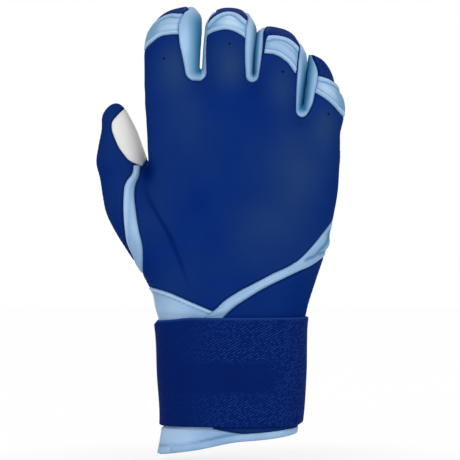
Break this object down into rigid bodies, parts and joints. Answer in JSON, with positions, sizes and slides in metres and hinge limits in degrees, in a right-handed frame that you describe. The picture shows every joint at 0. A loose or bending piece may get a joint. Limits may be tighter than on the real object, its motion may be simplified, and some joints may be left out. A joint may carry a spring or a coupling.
{
  "type": "batting glove",
  "caption": "Right-hand batting glove shaped as if worn: leather back and palm, stretch knuckle panels, long cuff and wide wrist strap; finger, thumb and strap ends hinge.",
  "frame": {"origin": "centre of the cuff's mouth", "axes": "+Z from the cuff up to the fingers, -Y out of the back of the hand, +Y out of the palm, -X towards the thumb"},
  "size_m": [0.1153, 0.074, 0.2113],
  "materials": {
    "blue_leather": "matte navy blue synthetic leather with a fine grain",
    "white_leather": "soft off-white sheepskin, matte",
    "stretch_cloth": "light blue stretch knit, matte",
    "elastic_webbing": "navy twill-woven elastic, matte",
    "hook_and_loop": "dark blue hook-and-loop tape"
  },
  "bodies": {
    "hand": {"back_panel": "blue_leather", "palm_panel": "white_leather", "index_middle_fourchette": "stretch_cloth", "middle_ring_fourchette": "stretch_cloth", "ring_little_fourchette": "stretch_cloth", "thumb_back": "blue_leather", "thumb_gusset": "stretch_cloth", "ulnar_wrist_panel": "blue_leather", "wrist_trim": "stretch_cloth", "cuff": "stretch_cloth", "cuff_hem": "stretch_cloth", "strap_band": "elastic_webbing", "strap_loop_patch": "hook_and_loop", "index_flex_panel": "stretch_cloth", "middle_flex_panel": "stretch_cloth", "ring_flex_panel": "stretch_cloth", "little_flex_panel": "stretch_cloth"},
    "index_end": {"index_tip_back": "blue_leather", "index_tip_front": "white_leather", "index_tip_ulnar_wall": "stretch_cloth"},
    "middle_end": {"middle_tip_back": "blue_leather", "middle_tip_front": "white_leather", "middle_tip_radial_wall": "stretch_cloth", "middle_tip_ulnar_wall": "stretch_cloth"},
    "ring_end": {"ring_tip_back": "blue_leather", "ring_tip_front": "white_leather", "ring_tip_radial_wall": "stretch_cloth", "ring_tip_ulnar_wall": "stretch_cloth"},
    "little_end": {"little_tip_back": "blue_leather", "little_tip_front": "white_leather", "little_tip_radial_wall": "stretch_cloth"},
    "thumb_end": {"thumb_tip_back": "blue_leather", "thumb_tip_front": "white_leather"},
    "strap_end": {"strap_tab": "elastic_webbing", "strap_hook_patch": "hook_and_loop", "strap_end_binding": "blue_leather"}
  },
  "joints": [
    {"name": "index_curl", "type": "hinge", "parent": "hand", "child": "index_end", "pos_m": [-0.0286, 0.00185, 0.19004], "axis": [-0.9781, 0, -0.2079], "range_deg": [-60, 20], "stiffness_Nm_per_rad": 0.02, "deforming": ["index_flex_panel"]},
    {"name": "middle_curl", "type": "hinge", "parent": "hand", "child": "middle_end", "pos_m": [-0.0023, 0.00201, 0.19034], "axis": [-0.9994, 0, 0.0349], "range_deg": [-60, 20], "stiffness_Nm_per_rad": 0.02, "deforming": ["middle_flex_panel"]},
    {"name": "ring_curl", "type": "hinge", "parent": "hand", "child": "ring_end", "pos_m": [0.0213, -0.00009, 0.18107], "axis": [-0.9703, 0, 0.2419], "range_deg": [-60, 20], "stiffness_Nm_per_rad": 0.02, "deforming": ["ring_flex_panel"]},
    {"name": "little_curl", "type": "hinge", "parent": "hand", "child": "little_end", "pos_m": [0.0428, -0.00517, 0.16139], "axis": [-0.9397, 0, 0.342], "range_deg": [-50, 20], "stiffness_Nm_per_rad": 0.02, "deforming": ["little_flex_panel"]},
    {"name": "thumb_curl", "type": "hinge", "parent": "hand", "child": "thumb_end", "pos_m": [-0.0444, 0.0215, 0.134], "axis": [-0.8, 0.6, 0], "range_deg": [0, 35], "stiffness_Nm_per_rad": 0.02},
    {"name": "strap_peel", "type": "hinge", "parent": "hand", "child": "strap_end", "pos_m": [-0.0276, 0.0185, 0.0336], "axis": [0, 0, 1], "range_deg": [0, 110]}
  ]
}
